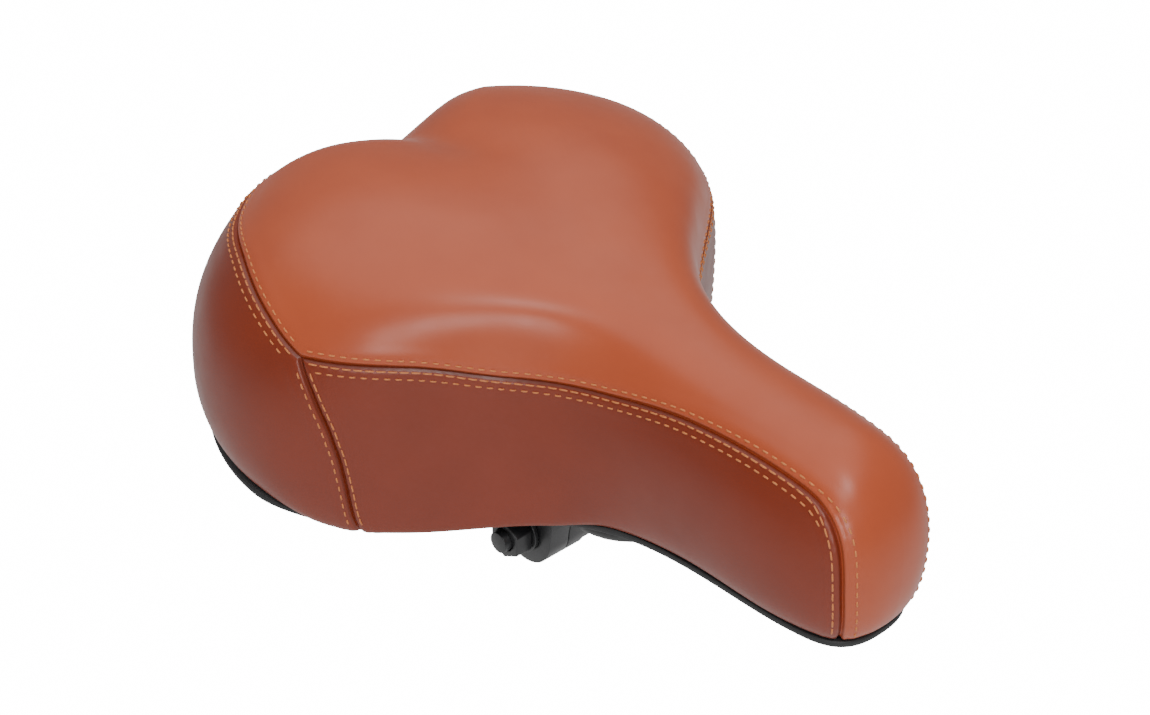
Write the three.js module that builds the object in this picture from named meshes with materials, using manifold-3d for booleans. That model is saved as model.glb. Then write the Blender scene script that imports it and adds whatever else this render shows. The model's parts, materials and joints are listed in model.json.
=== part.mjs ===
// Comfort bicycle saddle with a tilting, sliding rail clamp and a sprung seat.
//
// Millimetres, +X towards the nose, +Y to the rider's left, +Z up. The parts are drawn in saddle
// coordinates, whose zero height is near the lower edge of the skirt, and the whole group is then
// moved so that the origin is the mouth of the seat post socket.
import * as THREE from "three";
import { mergeVertices } from "three/addons/utils/BufferGeometryUtils.js";
import Module from "manifold-3d";

const wasm = await Module();
wasm.setup();

// ---- Driving dimensions ---------------------------------------------------------------------

// Half outline of the cover from the rear centre to the nose tip. Each station holds
// x, y, height of the widest line, height of the lower edge, roundness of the shoulder, tuck of
// the skirt. The stations are the control points of a cubic B-spline.
const OUTLINE = [
  [-110, 0, 23, 10, 2.4, 4.5],
  [-119, 38, 22, 9, 2.4, 5],
  [-119, 62, 21, 7, 2.5, 6],
  [-90, 97, 20, 0, 2.6, 7],
  [-53, 108, 21, -9, 2.6, 7],
  [-12, 93, 23, -16, 2.6, 7],
  [14, 43, 24, -15, 2.5, 6],
  [48, 24, 24, -7, 2.4, 6],
  [104, 28, 22, -3, 2.4, 6],
  [147, 25, 20, -3, 2.4, 6],
  [151, 0, 20, -4, 2.4, 6],
];
const CROWN = { from: -120, to: 140, heights: [86, 92, 92, 84, 73, 64, 63, 60] };
const PAN_CROWN = { from: -120, to: 140, heights: [34, 38, 39, 38, 36, 33, 31, 29] };
const GROOVE = { depth: 10, halfWidth: 28, endX: -52, fade: 20 };
const SPINE = { rearX: -62, noseX: 118, rearU: 2.2, noseU: 8.6 };
const SKIRT_TURN = 0.9 * Math.PI / 2;

const COVER_THICKNESS = 1.4;
const FOAM_INSET = 3.4;
const PAN_INSET = { shoulder: 8.5, edge: 4.5 };
// How far the pan and the foam stand above the cover's edge where the rails pass below them.
const RAIL_ARCH = 9;
const PAN_THICKNESS = 2.4;
const FOAM_GAP = 0.8;
const RIM = { inset: 3.3, height: 2.6, shown: 3 };
const CLEARANCE = 0.3;

const RAIL_RADIUS = 3.5;
const RAIL = { clampY: 22, clampZ: -13, noseY: 5, noseZ: 3, rearY: 30, rearZ: -4 };
const GROOVE_RADIUS = RAIL_RADIUS + CLEARANCE;

const BOLT = { x: 13, z: -24, radius: 4, halfLength: 43 };
const BOLT_HOLE = BOLT.radius + CLEARANCE;
const POST = { x: -7, boreRadius: 11.2, wall: 2.5, bottom: -44, top: -8 };
const EAR = { radius: 12.5, outer: 13.8, slot: 1.6 };
const CHEEK = { radius: 13, inner: 14.1, rail: 22, split: 0.2, outer: 31, top: -7.6, halfTop: 11 };
const WASHER = { radius: 8, inner: 31.3, outer: 32.9 };
const NUT = { acrossFlats: 13, inner: 33.2, outer: 40.2 };

const PIVOT = { x: 124, z: 3, pinRadius: 2.5 };
const PIVOT_HOLE = PIVOT.pinRadius + CLEARANCE;
const BLOCK = { rear: 101, front: 131, halfWidth: 10.4, bottom: -4, top: 10, boreEnd: 117 };
const LUG = { rear: 117, front: 131, inner: 10.7, outer: 12.5 };
const BRACKET = { rear: 103, front: 131, bottom: 14, top: 16.2 };
const NOSE_SCREWS = [109, 127];

const BUMPER = { x: -87, y: 30, radius: 11, waist: 9.4, bottom: 1.8, top: 22 };
const SPIGOT = { radius: 2.6, height: 5 };
const BRIDGE = { rear: -98, front: -76, halfWidth: 42, bottom: -1.3, top: 1.5 };
const SOCKET = { front: -82, halfWidth: 5.6, bottom: -9.6 };
const GUIDE = { x: -87, radius: 3, top: 30, bottom: -13, hole: 4.6 };

const ORIGIN = new THREE.Vector3(POST.x, 0, POST.bottom);

// ---- Finishes -------------------------------------------------------------------------------

const finish = (color, roughness, metalness) =>
  () => new THREE.MeshStandardMaterial({ color, roughness, metalness, side: THREE.DoubleSide });
const topLeather = finish(0xb5694a, 0.5, 0);
const sideLeather = finish(0x8f4429, 0.5, 0);
const foamFinish = finish(0xd8cfa8, 0.95, 0);
const blackPlastic = finish(0x1b1b1c, 0.55, 0);
const blackSteel = finish(0x17191b, 0.4, 0.8);
const zincSteel = finish(0x8d9094, 0.35, 0.9);
const rubber = finish(0x26282a, 0.8, 0);

// ---- Solids and booleans --------------------------------------------------------------------

const saddle = new THREE.Group();

function add(name, geometry, material) {
  const mesh = new THREE.Mesh(geometry, material());
  mesh.name = name;
  saddle.add(mesh);
}

function toSolid(geometry) {
  const bare = geometry.index ? geometry.clone() : geometry;
  bare.deleteAttribute("normal");
  bare.deleteAttribute("uv");
  const merged = mergeVertices(bare, 1e-4);
  return new wasm.Manifold(new wasm.Mesh({
    numProp: 3,
    vertProperties: new Float32Array(merged.attributes.position.array),
    triVerts: new Uint32Array(merged.index.array),
  }));
}

function toGeometry(solid) {
  const mesh = solid.getMesh();
  const geometry = new THREE.BufferGeometry();
  geometry.setAttribute("position", new THREE.BufferAttribute(mesh.vertProperties, 3));
  geometry.setIndex(new THREE.BufferAttribute(mesh.triVerts, 1));
  geometry.computeVertexNormals();
  return geometry;
}

const join = (...geometries) => toGeometry(wasm.Manifold.union(geometries.map(toSolid)));
const cut = (body, ...tools) => toGeometry(wasm.Manifold.difference([body, ...tools].map(toSolid)));

function box(x0, x1, y0, y1, z0, z1) {
  const geometry = new THREE.BoxGeometry(x1 - x0, y1 - y0, z1 - z0);
  return geometry.translate((x0 + x1) / 2, (y0 + y1) / 2, (z0 + z1) / 2);
}

/** A cylinder along x, y or z, from one coordinate to another, at the two other coordinates. */
function rod(axis, radius, from, to, across, up, sides = 24) {
  const geometry = new THREE.CylinderGeometry(radius, radius, to - from, sides);
  const middle = (from + to) / 2;
  if (axis === "x") return geometry.rotateZ(-Math.PI / 2).translate(middle, across, up);
  if (axis === "y") return geometry.translate(across, middle, up);
  return geometry.rotateX(Math.PI / 2).translate(across, up, middle);
}

/** A plate or prism: an outline in X and Z, between two Y coordinates. */
function prismY(shape, y0, y1, curveSegments = 10) {
  const settings = { depth: y1 - y0, bevelEnabled: false, curveSegments };
  return new THREE.ExtrudeGeometry(shape, settings).rotateX(Math.PI / 2).translate(0, y1, 0);
}

function hexagon(acrossFlats, x, z) {
  const shape = new THREE.Shape();
  const corner = acrossFlats / Math.sqrt(3);
  for (let i = 0; i < 6; i += 1) {
    const angle = (i + 0.5) * Math.PI / 3;
    shape[i ? "lineTo" : "moveTo"](x + corner * Math.cos(angle), z + corner * Math.sin(angle));
  }
  shape.closePath();
  return shape;
}

// ---- The saddle's surface -------------------------------------------------------------------

const LAST_U = OUTLINE.length - 1;

function splineWeights(f) {
  return [(1 - f) ** 3 / 6, (3 * f ** 3 - 6 * f ** 2 + 4) / 6,
    (-3 * f ** 3 + 3 * f ** 2 + 3 * f + 1) / 6, f ** 3 / 6];
}

/** The outline station at u, where both ends go on into the mirrored other half. */
function station(u) {
  const mirrored = (row) => row.map((value, i) => (i === 1 ? -value : value));
  const rows = [mirrored(OUTLINE[1]), ...OUTLINE, mirrored(OUTLINE[LAST_U - 1]),
    mirrored(OUTLINE[LAST_U - 2])];
  const first = Math.min(Math.floor(u), LAST_U);
  const weights = splineWeights(u - first);
  return OUTLINE[0].map((_, i) => weights.reduce((sum, w, k) => sum + w * rows[first + k][i], 0));
}

function crownHeight(crown, x) {
  const { from, to, heights } = crown;
  const n = heights.length;
  const ahead = 2 * heights[n - 1] - heights[n - 2];
  const rows = [2 * heights[0] - heights[1], ...heights, ahead, ahead];
  const u = THREE.MathUtils.clamp((x - from) / (to - from), 0, 1) * (n - 1);
  const first = Math.floor(u);
  return splineWeights(u - first).reduce((sum, w, k) => sum + w * rows[first + k], 0);
}

function topHeight(x, y) {
  const fade = 1 / (1 + Math.exp((x - GROOVE.endX) / GROOVE.fade));
  const dip = GROOVE.depth * fade * Math.exp(-((y / GROOVE.halfWidth) ** 2));
  return crownHeight(CROWN, x) - dip;
}

/**
 * A point on a layer of the saddle. u runs along the half outline. v is 0 on the spine, 1 on the
 * widest line and 2 on the lower edge. inset moves the layer in from the outside, crown gives its
 * height over x and y, and lift raises its lower edge.
 */
function layerPoint(u, v, { inset, crown, lift }) {
  const [x, y, widest, edge, roundness, tuck] = station(u);
  const along = THREE.MathUtils.clamp((u - SPINE.rearU) / (SPINE.noseU - SPINE.rearU), 0, 1);
  const spineX = SPINE.rearX + (SPINE.noseX - SPINE.rearX) * along;
  const rib = Math.hypot(x - spineX, y);
  const scale = 1 - inset / rib;
  const angle = THREE.MathUtils.clamp(1 - v, 0, 1) * Math.PI / 2;
  const cos = Math.cos(angle);
  const sin = Math.sin(angle);
  const norm = (cos ** roundness + sin ** roundness) ** (1 / roundness);
  const out = scale * cos / norm;
  const topX = spineX + (x - spineX) * out;
  const topY = y * out;
  const turn = THREE.MathUtils.clamp(v - 1, 0, 1) * SKIRT_TURN;
  const pull = tuck * (1 - Math.cos(turn)) / rib;
  const drop = (widest - edge - lift) * Math.sin(turn) / Math.sin(SKIRT_TURN);
  const z = v > 1 ? widest - drop : widest + (crown(topX, topY) - widest) * sin / norm;
  return new THREE.Vector3(topX - (x - spineX) * pull, topY - y * pull, z);
}

// ---- The chart: forward and outward coordinates in which the seams are drawn ---------------

const CHART_LENGTH = (SPINE.noseU - SPINE.rearU) * 0.75;
const QUARTER = Math.PI / 2;

/** From chart coordinates (forward, out) to u and v. Both ends are quarter discs. */
function fromChart(forward, out) {
  if (forward > 0) {
    const turn = Math.atan2(out, forward) / QUARTER;
    return [LAST_U - turn * (LAST_U - SPINE.noseU), Math.hypot(forward, out)];
  }
  if (forward < -CHART_LENGTH) {
    const behind = -forward - CHART_LENGTH;
    return [Math.atan2(out, behind) / QUARTER * SPINE.rearU, Math.hypot(behind, out)];
  }
  return [SPINE.noseU + forward / CHART_LENGTH * (SPINE.noseU - SPINE.rearU), out];
}

const chartCurve = (points) => new THREE.SplineCurve(points.map(([a, b]) => new THREE.Vector2(a, b)));
const REAR_CENTRE = [-5.4, 0];
const JUNCTION = [-3, 0.7];
const LOWER_END = [-2.7, 2];
const rearSeam = chartCurve([REAR_CENTRE, [-5.3, 0.3], [-5.05, 0.48], [-4.5, 0.55], [-3.9, 0.565],
  [-3.4, 0.62], JUNCTION]);
const lowerSeam = chartCurve([JUNCTION, [-2.84, 0.83], [-2.73, 1], [-2.69, 1.3], [-2.69, 1.65],
  LOWER_END]);
const sideSeam = chartCurve([JUNCTION, [-2.4, 0.69], [-1.9, 0.72], [-1.35, 0.67], [-0.85, 0.55],
  [-0.4, 0.495], [0, 0.51], [0.3, 0.61], [0.5, 0.79], [0.72, 1.03], [0.98, 1.3], [1.23, 1.58]]);
const NOSE_CORNER = 7 / 11;

const SEAM_STEPS = 20;
const NOSE_STEPS = 7;
const REAR_STEPS = 14;
const TOP_STEPS = 9;

const steps = (count, at) => Array.from({ length: count + 1 }, (_, i) => at(i / count));
const curvePoints = (curve, count, from = 0, to = 1) =>
  steps(count, (t) => curve.getPoint(from + (to - from) * t));

/** Points on the lower edge, by distance along it in the chart. Zero is straight below the spine's
 *  nose end, negative is behind it. */
function edgePoint(distance) {
  const radius = 2;
  if (distance > 0) {
    const angle = distance / radius;
    return new THREE.Vector2(radius * Math.sin(angle), radius * Math.cos(angle));
  }
  if (distance < -CHART_LENGTH) {
    const angle = (-distance - CHART_LENGTH) / radius;
    return new THREE.Vector2(-CHART_LENGTH - radius * Math.sin(angle), radius * Math.cos(angle));
  }
  return new THREE.Vector2(distance, radius);
}
const edgePoints = (count, from, to) => steps(count, (t) => edgePoint(from + (to - from) * t));

const EDGE_AT_NOSE_SEAM = 2 * Math.atan2(1.23, 1.58);
const EDGE_AT_NOSE = 2 * QUARTER;
const EDGE_AT_REAR = -CHART_LENGTH - 2 * QUARTER;

/** A point at fraction t of a list of points. */
function between(points, t) {
  const place = t * (points.length - 1);
  const first = Math.min(Math.floor(place), points.length - 2);
  return points[first].clone().lerp(points[first + 1], place - first);
}

/** Fills a four-sided patch from its sides. Near and far run along s, left and right along t. */
function coonsPatch(near, far, left, right, s, t) {
  const point = between(near, s).multiplyScalar(1 - t);
  point.addScaledVector(between(far, s), t);
  point.addScaledVector(between(left, t), 1 - s);
  point.addScaledVector(between(right, t), s);
  point.addScaledVector(near[0], -(1 - s) * (1 - t));
  point.addScaledVector(near[near.length - 1], -s * (1 - t));
  point.addScaledVector(far[0], -(1 - s) * t);
  point.addScaledVector(far[far.length - 1], -s * t);
  return point;
}

// ---- Skins and pads -------------------------------------------------------------------------

/** One closed geometry from a list of points and triangles, turned so that it faces out. */
function closedGeometry(points, triangles) {
  let volume = 0;
  for (const [a, b, c] of triangles) {
    volume += points[a].dot(points[b].clone().cross(points[c]));
  }
  const geometry = new THREE.BufferGeometry().setFromPoints(points);
  geometry.setIndex((volume < 0 ? triangles.map(([a, b, c]) => [a, c, b]) : triangles).flat());
  const merged = mergeVertices(geometry, 1e-3);
  const index = merged.index.array;
  const kept = [];
  for (let i = 0; i < index.length; i += 3) {
    const [a, b, c] = [index[i], index[i + 1], index[i + 2]];
    if (a !== b && b !== c && c !== a) kept.push(a, b, c);
  }
  merged.setIndex(kept);
  merged.computeVertexNormals();
  return merged;
}

/** Where the cover's lower edge is above the rim's lower edge, so that the rim shows below it. */
function coverLift(u) {
  const smooth = THREE.MathUtils.smoothstep;
  const hidden = smooth(u, 4.1, 4.8) * (1 - smooth(u, 6.3, 6.9)) + smooth(u, 8.4, 9.2);
  return RIM.shown * (1 - hidden);
}

function coverPoint(forward, out, depth) {
  const [u, v] = fromChart(forward, Math.abs(out));
  const crown = (x, y) => topHeight(x, y) - depth;
  const point = layerPoint(u, v, { inset: depth, crown, lift: coverLift(u) });
  point.y *= Math.sign(out) || 0;
  return point;
}

/** A cover panel: chart(s, t) gives its chart coordinates over a grid of columns and rows. */
function panel(columns, rows, chart) {
  const points = [];
  for (const depth of [0, COVER_THICKNESS]) {
    for (let i = 0; i <= columns; i += 1) {
      for (let j = 0; j <= rows; j += 1) {
        const { x, y } = chart(i / columns, j / rows);
        points.push(coverPoint(x, y, depth));
      }
    }
  }
  const half = (columns + 1) * (rows + 1);
  const at = (i, j, side) => side * half + i * (rows + 1) + j;
  const triangles = [];
  const quad = (a, b, c, d) => triangles.push([a, b, c], [a, c, d]);
  for (let i = 0; i < columns; i += 1) {
    for (let j = 0; j < rows; j += 1) {
      quad(at(i, j, 0), at(i + 1, j, 0), at(i + 1, j + 1, 0), at(i, j + 1, 0));
      quad(at(i, j, 1), at(i, j + 1, 1), at(i + 1, j + 1, 1), at(i + 1, j, 1));
    }
    quad(at(i, 0, 1), at(i + 1, 0, 1), at(i + 1, 0, 0), at(i, 0, 0));
    quad(at(i, rows, 0), at(i + 1, rows, 0), at(i + 1, rows, 1), at(i, rows, 1));
  }
  for (let j = 0; j < rows; j += 1) {
    quad(at(0, j, 0), at(0, j + 1, 0), at(0, j + 1, 1), at(0, j, 1));
    quad(at(columns, j, 1), at(columns, j + 1, 1), at(columns, j + 1, 0), at(columns, j, 0));
  }
  return closedGeometry(points, triangles);
}

const SEAM_MARGIN = 0.003;
const inside = (t) => SEAM_MARGIN + (1 - 2 * SEAM_MARGIN) * t;

/** The top panel's grid: each column is ruled from the middle line to the seam. Down the nose front
 *  the columns turn into arcs, so that the last one is the panel's lower edge. */
function topPanel() {
  const seam = [...curvePoints(rearSeam, REAR_STEPS),
    ...curvePoints(sideSeam, SEAM_STEPS, 0, NOSE_CORNER).slice(1),
    ...curvePoints(sideSeam, NOSE_STEPS, NOSE_CORNER, 1).slice(1)];
  const end = seam[seam.length - 1];
  const chart = (s, t) => {
    const side = 2 * t - 1;
    const reach = Math.abs(side) * inside(1);
    const far = between(seam, inside(s));
    const front = Math.max(far.x / end.x, 0);
    const near = far.x > 0 ? front * 2 : far.x;
    const ruled = new THREE.Vector2(near, 0).lerp(far, reach);
    const radius = near + (far.length() - near) * reach;
    const angle = far.angle() * reach;
    const arc = new THREE.Vector2(radius * Math.cos(angle), radius * Math.sin(angle));
    const point = ruled.lerp(arc, THREE.MathUtils.smoothstep(front, 0, 1));
    point.y *= Math.sign(side);
    return point;
  };
  return panel(seam.length - 1, 2 * TOP_STEPS, chart);
}

function sidePanel(side) {
  const top = curvePoints(sideSeam, SEAM_STEPS, 0, NOSE_CORNER);
  const front = curvePoints(sideSeam, NOSE_STEPS, NOSE_CORNER, 1);
  const rear = curvePoints(lowerSeam, NOSE_STEPS);
  const edge = edgePoints(SEAM_STEPS, LOWER_END[0], EDGE_AT_NOSE_SEAM);
  const chart = (s, t) => {
    const point = coonsPatch(top, edge, rear, front, inside(s), inside(t));
    point.y *= side;
    return point;
  };
  return panel(SEAM_STEPS, NOSE_STEPS, chart);
}

function rearPanel() {
  const top = curvePoints(rearSeam, REAR_STEPS);
  const edge = edgePoints(REAR_STEPS, EDGE_AT_REAR, LOWER_END[0]);
  const middle = steps(NOSE_STEPS, (t) =>
    new THREE.Vector2(REAR_CENTRE[0] + (-CHART_LENGTH - 2 - REAR_CENTRE[0]) * t, 0));
  const side = curvePoints(lowerSeam, NOSE_STEPS);
  const chart = (s, t) => {
    const across = 2 * s - 1;
    const point = coonsPatch(top, edge, middle, side, Math.abs(across) * inside(1), inside(t));
    point.y *= Math.sign(across);
    return point;
  };
  return panel(2 * REAR_STEPS, NOSE_STEPS, chart);
}

/** A closed body all round the saddle from rib(u), its section from the spine out and back. */
function ringSolid(rib, ribs = 36) {
  const points = [];
  const triangles = [];
  for (const side of [1, -1]) {
    const start = points.length;
    const sections = steps(ribs, (t) => rib(t * LAST_U));
    const rows = sections[0].length;
    sections.flat().forEach((p) => points.push(new THREE.Vector3(p.x, Math.max(p.y, 0) * side, p.z)));
    for (let i = 0; i < ribs; i += 1) {
      for (let j = 0; j < rows - 1; j += 1) {
        const a = start + i * rows + j;
        const corners = [a, a + rows, a + rows + 1, a + 1];
        const [p, q, r, s] = side > 0 ? corners : corners.reverse();
        triangles.push([p, q, r], [p, r, s]);
      }
    }
  }
  return closedGeometry(points, triangles);
}

const TOP_ROWS = [0, 0.25, 0.42, 0.56, 0.7, 0.84];
const SKIRT_ROWS = [1, 1.3, 1.65, 2];
const ALL_ROWS = [...TOP_ROWS, ...SKIRT_ROWS];

function panInset(v) {
  return THREE.MathUtils.lerp(PAN_INSET.shoulder, PAN_INSET.edge, THREE.MathUtils.clamp(v - 1, 0, 1));
}

/** How far the lower edge of the pan and the foam is raised over the rails. */
function archLift(u) {
  const smooth = THREE.MathUtils.smoothstep;
  return RAIL_ARCH * smooth(u, 5.4, 6.2) * (1 - smooth(u, 7.3, 8));
}

/** A point on the pan's upper side, moved out of it (positive) or into it (negative). */
function panPoint(u, v, away, lift) {
  const crown = (x) => crownHeight(PAN_CROWN, x) + away;
  return layerPoint(u, v, { inset: panInset(v) - away, crown, lift });
}

function foamPad() {
  const crown = (x, y) => topHeight(x, y) - FOAM_INSET;
  return ringSolid((u) => {
    const lift = RIM.height + FOAM_GAP + archLift(u);
    const outer = ALL_ROWS.map((v) => layerPoint(u, v, { inset: FOAM_INSET, crown, lift }));
    return [...outer, ...ALL_ROWS.slice().reverse().map((v) => panPoint(u, v, FOAM_GAP, lift))];
  });
}

function panShell() {
  return ringSolid((u) => {
    const arch = archLift(u);
    const upper = ALL_ROWS.map((v) => panPoint(u, v, 0, arch + RIM.height));
    const lower = ALL_ROWS.slice().reverse().map((v) => panPoint(u, v, -PAN_THICKNESS, arch));
    const lip = layerPoint(u, 2, { inset: RIM.inset, crown: topHeight, lift: arch + RIM.height });
    const foot = layerPoint(u, 2, { inset: RIM.inset, crown: topHeight, lift: arch });
    return [...upper, lip, foot, ...lower];
  });
}

function baseShell() {
  const bosses = [rod("z", 4.5, GUIDE.top - 8, GUIDE.top + 4.5, GUIDE.x, 0, 16)];
  const holes = [rod("z", GUIDE.radius + CLEARANCE, GUIDE.top - 9, GUIDE.top + 0.3, GUIDE.x, 0, 16)];
  for (const x of NOSE_SCREWS) {
    bosses.push(rod("z", 4.6, BRACKET.top + CLEARANCE, 28.2, x, 0, 16));
    holes.push(rod("z", 2.2, BRACKET.top, 25, x, 0, 12));
  }
  for (const side of [1, -1]) {
    const y = side * BUMPER.y;
    bosses.push(rod("z", BUMPER.radius + 1, BUMPER.top + CLEARANCE, 32.5, BUMPER.x, y, 24));
    bosses.push(rod("z", SPIGOT.radius, BUMPER.top - SPIGOT.height, 30, BUMPER.x, y, 12));
  }
  return cut(join(panShell(), ...bosses), ...holes);
}

// ---- Rails, bridge and bumpers --------------------------------------------------------------

/** A round wire through corner points, each bend rounded off between two points of the path. */
function wire(corners, radius, wireSteps) {
  const path = new THREE.CurvePath();
  let from = corners[0].point;
  for (let i = 1; i < corners.length - 1; i += 1) {
    const { point, bend } = corners[i];
    const before = point.clone().add(from.clone().sub(point).setLength(bend));
    const after = point.clone().add(corners[i + 1].point.clone().sub(point).setLength(bend));
    path.add(new THREE.LineCurve3(from, before));
    path.add(new THREE.QuadraticBezierCurve3(before, point, after));
    from = after;
  }
  path.add(new THREE.LineCurve3(from, corners[corners.length - 1].point));
  const section = new THREE.Shape().absarc(0, 0, radius, 0, 2 * Math.PI);
  const settings = { extrudePath: path, steps: wireSteps, bevelEnabled: false, curveSegments: 6 };
  return new THREE.ExtrudeGeometry(section, settings);
}

function railWire(side) {
  const corner = (x, y, z, bend) => ({ point: new THREE.Vector3(x, side * y, z), bend });
  return wire([
    corner(BLOCK.boreEnd - 1, RAIL.noseY, RAIL.noseZ, 0),
    corner(86, RAIL.noseY, RAIL.noseZ, 11),
    corner(41, RAIL.clampY, RAIL.clampZ, 10),
    corner(-44, RAIL.clampY, RAIL.clampZ, 12),
    corner(-70, RAIL.rearY, RAIL.rearZ, 10),
    corner(BRIDGE.rear + 2, RAIL.rearY, RAIL.rearZ, 0),
  ], RAIL_RADIUS, 48);
}

function rearBridge() {
  const { rear, front, halfWidth, bottom, top } = BRIDGE;
  const pieces = [box(rear, front, -halfWidth, halfWidth, bottom, top)];
  const holes = [rod("z", GUIDE.hole, bottom - 1, top + 1, GUIDE.x, 0, 20)];
  for (const side of [1, -1]) {
    const y = side * RAIL.rearY;
    pieces.push(box(rear, SOCKET.front, y - SOCKET.halfWidth, y + SOCKET.halfWidth, SOCKET.bottom, top));
    pieces.push(rod("z", SPIGOT.radius, top - 1, top + SPIGOT.height, BUMPER.x, side * BUMPER.y, 12));
    holes.push(rod("x", GROOVE_RADIUS, rear + 1.5, SOCKET.front + 12, y, RAIL.rearZ, 16));
  }
  return cut(join(...pieces), ...holes);
}

/** A rubber bumper: a barrel with a groove round its middle and a bore for the spigots. */
function bumper(side) {
  const { radius, waist, bottom, top } = BUMPER;
  const bore = SPIGOT.radius + CLEARANCE;
  const middle = (bottom + top) / 2;
  const profile = [
    [bore, bottom], [radius - 1, bottom], [radius, bottom + 1.5], [radius, middle - 3.5],
    [waist, middle - 1.5], [waist, middle + 1.5], [radius, middle + 3.5], [radius, top - 1.5],
    [radius - 1, top], [bore, top], [bore, bottom],
  ];
  const geometry = new THREE.LatheGeometry(profile.map(([r, z]) => new THREE.Vector2(r, z)), 28);
  return geometry.rotateX(Math.PI / 2).translate(BUMPER.x, side * BUMPER.y, 0);
}

// ---- Nose pivot -----------------------------------------------------------------------------

function pivotBlock() {
  const { rear, front, halfWidth, bottom, top, boreEnd } = BLOCK;
  const holes = [rod("y", PIVOT_HOLE, -halfWidth - 1, halfWidth + 1, PIVOT.x, PIVOT.z, 20)];
  for (const side of [1, -1]) {
    holes.push(rod("x", GROOVE_RADIUS, rear - 1, boreEnd, side * RAIL.noseY, RAIL.noseZ, 16));
  }
  const profile = new THREE.Shape();
  profile.moveTo(rear, bottom);
  profile.lineTo(front - 5, bottom);
  profile.quadraticCurveTo(front, bottom, front, PIVOT.z);
  profile.quadraticCurveTo(front, top, front - 5, top);
  profile.lineTo(rear, top);
  profile.closePath();
  return cut(prismY(profile, -halfWidth, halfWidth, 6), ...holes);
}

function noseBracket() {
  const { rear, front, bottom, top } = BRACKET;
  const pieces = [box(rear, front, -LUG.outer, LUG.outer, bottom, top)];
  const holes = NOSE_SCREWS.map((x) => rod("z", 2.2, bottom - 1, top + 1, x, 0, 12));
  const lug = new THREE.Shape();
  lug.moveTo(LUG.rear, top);
  lug.lineTo(LUG.rear, PIVOT.z);
  lug.absarc(PIVOT.x, PIVOT.z, LUG.front - PIVOT.x, Math.PI, 2 * Math.PI);
  lug.lineTo(LUG.front, top);
  lug.closePath();
  for (const side of [1, -1]) {
    const [low, high] = side > 0 ? [LUG.inner, LUG.outer] : [-LUG.outer, -LUG.inner];
    pieces.push(prismY(lug, low, high, 8));
    holes.push(rod("y", PIVOT_HOLE, low - 1, high + 1, PIVOT.x, PIVOT.z, 20));
  }
  return cut(join(...pieces), ...holes);
}

function pivotPin() {
  const reach = LUG.outer + CLEARANCE;
  const shank = rod("y", PIVOT.pinRadius, -reach - 1.5, reach + 0.5, PIVOT.x, PIVOT.z, 20);
  return join(shank, rod("y", 4, reach, reach + 1.2, PIVOT.x, PIVOT.z, 20));
}

function pinClip() {
  const reach = LUG.outer + CLEARANCE;
  const disc = rod("y", 4.4, -reach - 1.1, -reach, PIVOT.x, PIVOT.z, 20);
  return cut(disc, rod("y", PIVOT_HOLE, -reach - 2, -reach + 1, PIVOT.x, PIVOT.z, 20));
}

/** A pan head screw, standing up from its head below the bracket. */
function noseScrew(x) {
  const under = BRACKET.bottom - CLEARANCE;
  const profile = [[0, under - 2.1], [2.4, under - 2.1], [3.6, under - 1.2], [3.6, under], [1.9, under],
    [1.9, 24.2], [1.2, 24.7], [0, 24.7]];
  const geometry = new THREE.LatheGeometry(profile.map(([r, z]) => new THREE.Vector2(r, z)), 18);
  return geometry.rotateX(Math.PI / 2).translate(x, 0, 0);
}

// ---- Suspension bolt ------------------------------------------------------------------------

function guideBolt() {
  const profile = [[0, GUIDE.bottom], [2.4, GUIDE.bottom], [3, GUIDE.bottom + 0.8], [3, GUIDE.top],
    [0, GUIDE.top]];
  const geometry = new THREE.LatheGeometry(profile.map(([r, z]) => new THREE.Vector2(r, z)), 18);
  return geometry.rotateX(Math.PI / 2).translate(GUIDE.x, 0, 0);
}

function guideRing(outer, from, to) {
  return cut(outer, rod("z", GUIDE.radius + CLEARANCE, from - 1, to + 1, GUIDE.x, 0, 18));
}

function guideNut() {
  const [from, to] = [-9.2, -4];
  const shape = hexagon(10, GUIDE.x, 0);
  const body = new THREE.ExtrudeGeometry(shape, { depth: to - from, bevelEnabled: false });
  return guideRing(body.translate(0, 0, from), from, to);
}

// ---- Seat post clamp ------------------------------------------------------------------------

function clampBand() {
  const outer = POST.boreRadius + POST.wall;
  const { x, z } = BOLT;
  const sleeve = rod("z", outer, POST.bottom, POST.top, POST.x, 0, 40);
  const ear = rod("y", EAR.radius, -EAR.outer, EAR.outer, x, z, 32);
  const web = box(POST.x, x, -EAR.outer, EAR.outer, z - EAR.radius + 2, z + EAR.radius - 2);
  return cut(
    join(sleeve, ear, web),
    rod("z", POST.boreRadius, POST.bottom - 1, POST.top + 1, POST.x, 0, 40),
    box(POST.x, x + EAR.radius + 1, -EAR.slot, EAR.slot, POST.bottom - 1, POST.top + 1),
    rod("y", BOLT_HOLE, -EAR.outer - 1, EAR.outer + 1, x, z, 20),
  );
}

/** A cheek's side view: a round plate that widens at the top into the seat of the rail. */
function cheekShape() {
  const shape = new THREE.Shape();
  const { radius, top, halfTop } = CHEEK;
  const shoulder = RAIL.clampZ - 4.5;
  shape.moveTo(BOLT.x - halfTop - 3, top);
  shape.lineTo(BOLT.x - halfTop - 3, shoulder);
  shape.lineTo(BOLT.x - radius, BOLT.z);
  shape.absarc(BOLT.x, BOLT.z, radius, Math.PI, 2 * Math.PI);
  shape.lineTo(BOLT.x + halfTop + 3, shoulder);
  shape.lineTo(BOLT.x + halfTop + 3, top);
  shape.closePath();
  return shape;
}

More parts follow.
